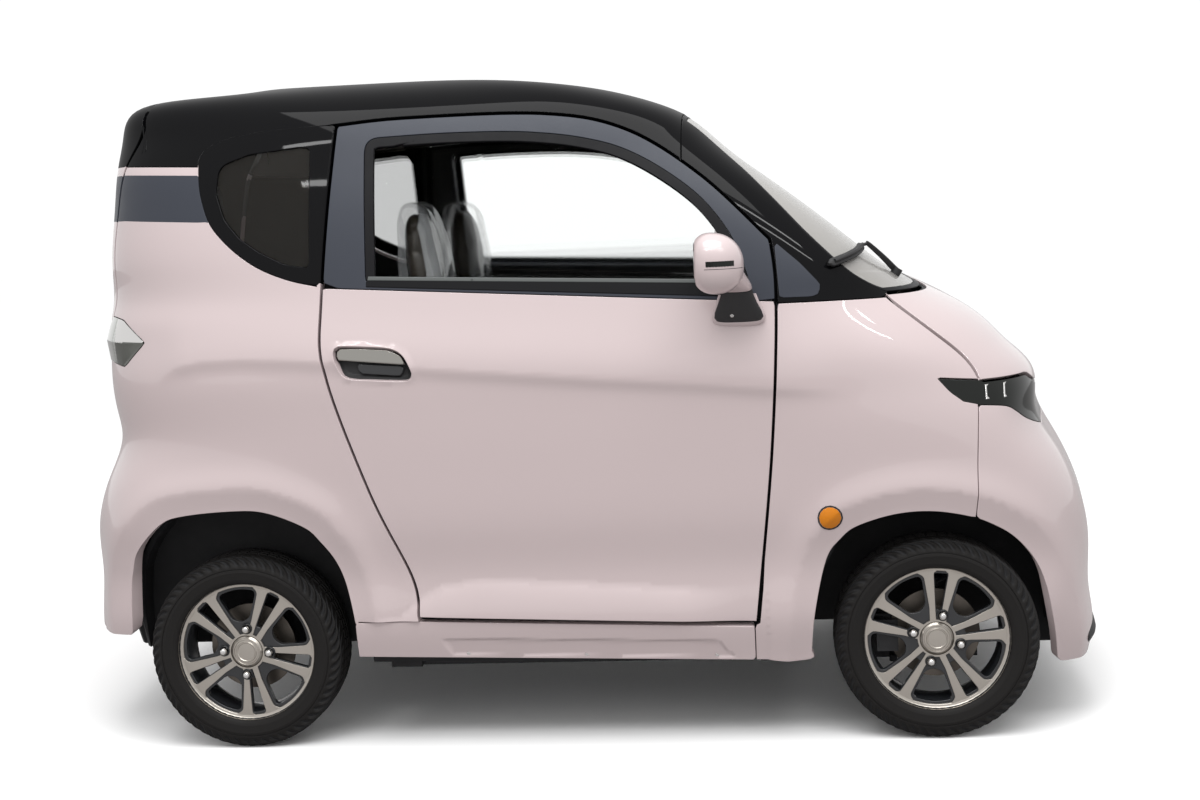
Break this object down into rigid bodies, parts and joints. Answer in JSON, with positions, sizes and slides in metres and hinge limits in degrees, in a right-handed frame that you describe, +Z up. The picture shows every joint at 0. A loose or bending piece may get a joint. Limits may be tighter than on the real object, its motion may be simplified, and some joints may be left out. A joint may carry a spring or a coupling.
{
  "type": "small electric car",
  "caption": "Small two-door electric car with opening doors, hood and tailgate, steered front wheels and a hollow cabin.",
  "frame": {"origin": "on the ground under the middle of the car", "axes": "+X forward, +Y to the car's left, +Z up"},
  "size_m": [2.71, 1.86, 1.727],
  "materials": {
    "paint_pink": "glossy",
    "gloss_black": "glossy",
    "black_plastic": "matte",
    "clear_glass": "clear",
    "tinted_glass": "tinted",
    "lamp_lens": "glossy",
    "clear_lens": "glossy",
    "tyre_rubber": "matte",
    "alloy": "machined",
    "cast_steel": "rough",
    "trim_plastic": "matte",
    "seat_fabric": "woven"
  },
  "bodies": {
    "body": {"roof": "gloss_black", "a_pillar_left": "gloss_black", "a_pillar_right": "gloss_black", "front_bumper": "paint_pink", "fender_left": "paint_pink", "fender_right": "paint_pink", "sill_left": "paint_pink", "sill_right": "paint_pink", "quarter_panel_left": "paint_pink", "quarter_panel_right": "paint_pink", "rear_bumper": "paint_pink", "windshield": "clear_glass", "quarter_glass_left": "tinted_glass", "quarter_glass_right": "tinted_glass", "front_lamps": "lamp_lens", "tail_lamp_left": "clear_lens", "tail_lamp_right": "clear_lens", "floor_pan": "black_plastic", "dashboard": "trim_plastic", "seats": "seat_fabric", "front_suspension": "cast_steel", "rear_axle": "cast_steel", "battery": "cast_steel"},
    "door_left": {"mirror_left": "gloss_black", "door_left": "paint_pink", "door_glass_left": "clear_glass"},
    "door_right": {"mirror_right": "gloss_black", "door_right": "paint_pink", "door_glass_right": "clear_glass"},
    "hood": {"hood": "paint_pink"},
    "tailgate": {"tailgate": "paint_pink", "rear_glass": "tinted_glass"},
    "steering_wheel": {"steering_wheel": "trim_plastic"},
    "wheel_front_left": {"tyre_front_left": "tyre_rubber", "rim_front_left": "alloy"},
    "wheel_front_right": {"tyre_front_right": "tyre_rubber", "rim_front_right": "alloy"},
    "wheel_rear_left": {"tyre_rear_left": "tyre_rubber", "rim_rear_left": "alloy"},
    "wheel_rear_right": {"tyre_rear_right": "tyre_rubber", "rim_rear_right": "alloy"},
    "knuckle_left": {"knuckle_left": "cast_steel"},
    "knuckle_right": {"knuckle_right": "cast_steel"},
    "steering_rack": {"steering_rack": "cast_steel"}
  },
  "joints": [
    {"name": "steer_right", "type": "hinge", "parent": "body", "child": "knuckle_right", "pos_m": [0.896, -0.585, 0.252], "axis": [0, 0, 1], "range_deg": [-30, 30]},
    {"name": "steer_left", "type": "hinge", "parent": "body", "child": "knuckle_left", "pos_m": [0.896, 0.585, 0.252], "axis": [0, 0, 1], "range_deg": [-30, 30]},
    {"name": "steering_wheel_turn", "type": "hinge", "parent": "body", "child": "steering_wheel", "pos_m": [0.35, 0.33, 0.9], "axis": [-0.9063, 0, 0.4226], "range_deg": [-421, 421]},
    {"name": "rack_slide", "type": "slide", "parent": "body", "child": "steering_rack", "axis": [0, -1, 0], "range_m": [-0.0525, 0.0525]},
    {"name": "wheel_front_right_spin", "type": "hinge", "parent": "knuckle_right", "child": "wheel_front_right", "pos_m": [0.896, -0.625, 0.252], "axis": [0, 1, 0], "continuous": true},
    {"name": "wheel_front_left_spin", "type": "hinge", "parent": "knuckle_left", "child": "wheel_front_left", "pos_m": [0.896, 0.625, 0.252], "axis": [0, 1, 0], "continuous": true},
    {"name": "wheel_rear_right_spin", "type": "hinge", "parent": "body", "child": "wheel_rear_right", "pos_m": [-0.856, -0.625, 0.252], "axis": [0, 1, 0], "continuous": true},
    {"name": "wheel_rear_left_spin", "type": "hinge", "parent": "body", "child": "wheel_rear_left", "pos_m": [-0.856, 0.625, 0.252], "axis": [0, 1, 0], "continuous": true},
    {"name": "door_right_hinge", "type": "hinge", "parent": "body", "child": "door_right", "pos_m": [0.46, -0.728, 0.675], "axis": [0, 0, 1], "range_deg": [0, 65]},
    {"name": "door_left_hinge", "type": "hinge", "parent": "body", "child": "door_left", "pos_m": [0.46, 0.728, 0.675], "axis": [0, 0, -1], "range_deg": [0, 65]},
    {"name": "hood_hinge", "type": "hinge", "parent": "body", "child": "hood", "pos_m": [0.74, 0, 1.1], "axis": [0, -1, 0], "range_deg": [0, 45]},
    {"name": "tailgate_hinge", "type": "hinge", "parent": "body", "child": "tailgate", "pos_m": [-1.096, 0, 1.668], "axis": [0, 1, 0], "range_deg": [0, 75]}
  ],
  "couplings": [
    {"joint": "steer_left", "follows": "steer_right", "ratio": 1},
    {"joint": "steering_wheel_turn", "follows": "steer_right", "ratio": 14},
    {"joint": "rack_slide", "follows": "steer_right", "m_per_rad": 0.1}
  ]
}
